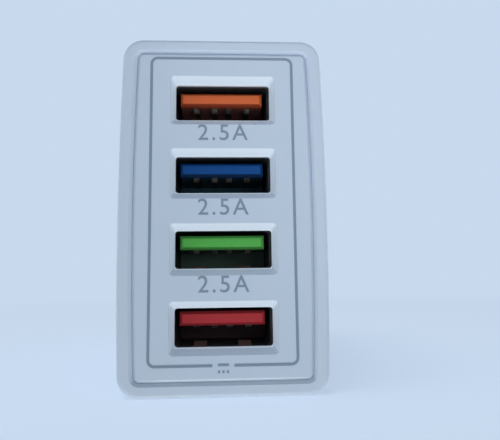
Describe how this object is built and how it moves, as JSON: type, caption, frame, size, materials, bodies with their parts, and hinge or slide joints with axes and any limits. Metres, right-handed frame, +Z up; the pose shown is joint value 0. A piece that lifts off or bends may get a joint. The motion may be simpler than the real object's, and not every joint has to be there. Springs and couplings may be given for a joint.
{
  "type": "usb charger",
  "caption": "Tall narrow wall charger: inset face panel with stacked USB-A ports in bevelled windows with coloured tongues, bowed plastic sleeve, round-pin mains plug on the back.",
  "frame": {"origin": "centre of the part's box at its bottom side", "axes": "+X to the right of the ports, +Y from the ports to the mains pins, +Z up"},
  "size_m": [0.0274, 0.09, 0.0471],
  "materials": {
    "housing_plastic": "fine moulded satin, pale cool white",
    "panel_plastic": "fine moulded satin, pale cool white",
    "shell_metal": "stamped, dull plated",
    "tongue_orange": "moulded, satin",
    "tongue_blue": "moulded, satin",
    "tongue_green": "moulded, satin",
    "tongue_red": "moulded, satin",
    "contact_metal": "plated spring strip",
    "pin_metal": "nickel plated, turned",
    "sleeve_plastic": "moulded, satin",
    "strip_metal": "stamped strip",
    "board_laminate": "solder mask",
    "ferrite": "sintered, dull",
    "bobbin_plastic": "moulded",
    "winding_tape": "smooth tape",
    "capacitor_can": "sleeved can",
    "fuse_body": "moulded",
    "choke_winding": "enamelled wire",
    "disc_coating": "dipped coating",
    "package_plastic": "moulded"
  },
  "bodies": {
    "root": {"main_housing": "housing_plastic", "port_panel": "panel_plastic", "rear_cover": "housing_plastic", "main_board": "board_laminate", "transformer_core": "ferrite", "transformer_bobbin": "bobbin_plastic", "transformer_winding": "winding_tape", "mains_capacitor_1": "capacitor_can", "mains_capacitor_2": "capacitor_can", "output_capacitor_1": "capacitor_can", "output_capacitor_2": "capacitor_can", "fuse": "fuse_body", "input_choke": "choke_winding", "safety_capacitor": "disc_coating", "bridge_rectifier": "package_plastic", "switching_controller": "package_plastic", "optical_coupler": "package_plastic", "output_rectifier": "package_plastic", "mains_pin_upper": "pin_metal", "pin_sleeve_upper": "sleeve_plastic", "mains_strip_upper": "strip_metal", "mains_pin_lower": "pin_metal", "pin_sleeve_lower": "sleeve_plastic", "mains_strip_lower": "strip_metal", "socket_shell_1": "shell_metal", "socket_tongue_1": "tongue_orange", "socket_contacts_1": "contact_metal", "socket_shell_2": "shell_metal", "socket_tongue_2": "tongue_blue", "socket_contacts_2": "contact_metal", "socket_shell_3": "shell_metal", "socket_tongue_3": "tongue_green", "socket_contacts_3": "contact_metal", "socket_shell_4": "shell_metal", "socket_tongue_4": "tongue_red", "socket_contacts_4": "contact_metal"}
  },
  "joints": []
}
